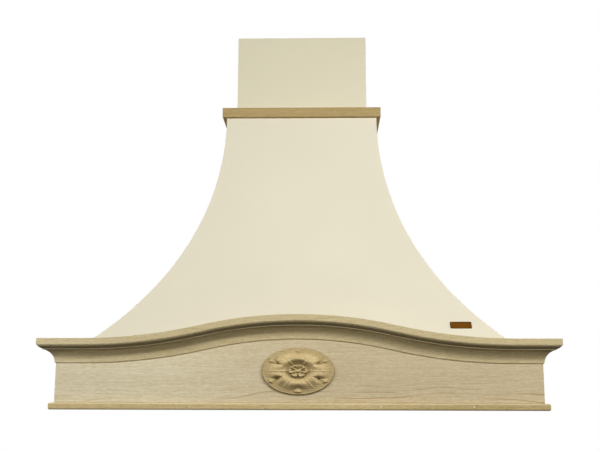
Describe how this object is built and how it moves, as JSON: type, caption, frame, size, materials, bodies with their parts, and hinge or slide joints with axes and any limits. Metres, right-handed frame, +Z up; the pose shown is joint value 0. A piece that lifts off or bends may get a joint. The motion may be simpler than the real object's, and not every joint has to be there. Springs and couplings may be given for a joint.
{
  "type": "range hood",
  "caption": "Wall-mounted kitchen hood: flared painted dome and sliding chimney over a moulded wooden frame with an arched crown and carved oval rosette; filters, lamps and blower inside.",
  "frame": {"origin": "on the wall plane, at the middle of the hood's lower edge", "axes": "+X to the right along the wall, +Y into the wall, +Z up"},
  "size_m": [0.9, 0.5, 0.7648],
  "materials": {
    "cream_paint": "satin",
    "bare_wood": "unfinished, open grain",
    "carved_wood": "unfinished, carved",
    "bronze": "dark satin",
    "panel_paint": "satin",
    "zinc_sheet": "galvanised",
    "aluminium": "satin",
    "chrome_trim": "bright",
    "reflector": "polished",
    "fasteners": "zinc plated",
    "grey_plastic": "moulded",
    "black_plastic": "moulded",
    "motor_paint": "satin",
    "frosted_glass": "frosted",
    "bulb_glass": "clear"
  },
  "bodies": {
    "hood": {"back_plate": "zinc_sheet", "back_rivets": "fasteners", "badge_plate": "bronze", "base_strip_front": "bare_wood", "base_strip_left": "bare_wood", "base_strip_right": "bare_wood", "blower_deck": "zinc_sheet", "bottom_panel": "panel_paint", "cable_gland": "black_plastic", "capacitor": "aluminium", "chimney_guide": "cream_paint", "collar_front": "bare_wood", "collar_left": "bare_wood", "collar_right": "bare_wood", "control_plate": "panel_paint", "crown_front": "bare_wood", "crown_left": "bare_wood", "crown_right": "bare_wood", "dome_front": "cream_paint", "dome_left": "cream_paint", "dome_right": "cream_paint", "fascia_front": "bare_wood", "fascia_left": "bare_wood", "fascia_right": "bare_wood", "lamp_bezel_left": "chrome_trim", "lamp_bezel_right": "chrome_trim", "lamp_bulb_left": "bulb_glass", "lamp_bulb_right": "bulb_glass", "lamp_can_left": "reflector", "lamp_can_right": "reflector", "lamp_lens_left": "frosted_glass", "lamp_lens_right": "frosted_glass", "motor_bearings": "chrome_trim", "motor_body": "motor_paint", "motor_bracket": "zinc_sheet", "outlet_collar": "grey_plastic", "panel_screws": "fasteners", "rosette": "carved_wood", "scroll_front": "grey_plastic", "scroll_rear": "grey_plastic", "scroll_screws": "fasteners", "switch_housing": "black_plastic", "terminal_box": "black_plastic", "wood_screws": "fasteners"},
    "chimney": {"chimney_cover": "cream_paint", "chimney_bracket": "zinc_sheet", "chimney_screws": "fasteners"},
    "impeller": {"impeller": "grey_plastic", "motor_shaft": "chrome_trim", "impeller_nut": "chrome_trim"},
    "flap_front": {"flap_front": "grey_plastic"},
    "flap_rear": {"flap_rear": "grey_plastic"},
    "filter_left": {"filter_frame_left": "aluminium", "filter_mesh_left": "aluminium"},
    "filter_right": {"filter_frame_right": "aluminium", "filter_mesh_right": "aluminium"},
    "filter_latch_left": {"filter_latch_left": "black_plastic"},
    "filter_latch_right": {"filter_latch_right": "black_plastic"},
    "speed_slider": {"speed_slider": "black_plastic"},
    "light_slider": {"light_slider": "black_plastic"}
  },
  "joints": [
    {"name": "chimney_slide", "type": "slide", "parent": "hood", "child": "chimney", "axis": [0, 0, 1], "range_m": [0, 0.2]},
    {"name": "impeller_spin", "type": "hinge", "parent": "hood", "child": "impeller", "pos_m": [0.0535, -0.125, 0.222], "axis": [0, 1, 0], "continuous": true},
    {"name": "flap_front_hinge", "type": "hinge", "parent": "hood", "child": "flap_front", "pos_m": [0, -0.1295, 0.372], "axis": [-1, 0, 0], "range_deg": [0, 75]},
    {"name": "flap_rear_hinge", "type": "hinge", "parent": "hood", "child": "flap_rear", "pos_m": [0, -0.1205, 0.372], "axis": [1, 0, 0], "range_deg": [0, 75]},
    {"name": "filter_left_hinge", "type": "hinge", "parent": "hood", "child": "filter_left", "pos_m": [-0.182, -0.051, 0.04], "axis": [1, 0, 0], "range_deg": [0, 60]},
    {"name": "filter_right_hinge", "type": "hinge", "parent": "hood", "child": "filter_right", "pos_m": [0.182, -0.051, 0.04], "axis": [1, 0, 0], "range_deg": [0, 60]},
    {"name": "filter_latch_left_slide", "type": "slide", "parent": "filter_left", "child": "filter_latch_left", "axis": [0, 1, 0], "range_m": [0, 0.005], "stiffness_N_per_m": 300, "springref_m": -0.004},
    {"name": "filter_latch_right_slide", "type": "slide", "parent": "filter_right", "child": "filter_latch_right", "axis": [0, 1, 0], "range_m": [0, 0.005], "stiffness_N_per_m": 300, "springref_m": -0.004},
    {"name": "speed_slide", "type": "slide", "parent": "hood", "child": "speed_slider", "axis": [1, 0, 0], "range_m": [0, 0.03]},
    {"name": "light_slide", "type": "slide", "parent": "hood", "child": "light_slider", "axis": [1, 0, 0], "range_m": [0, 0.012]}
  ]
}
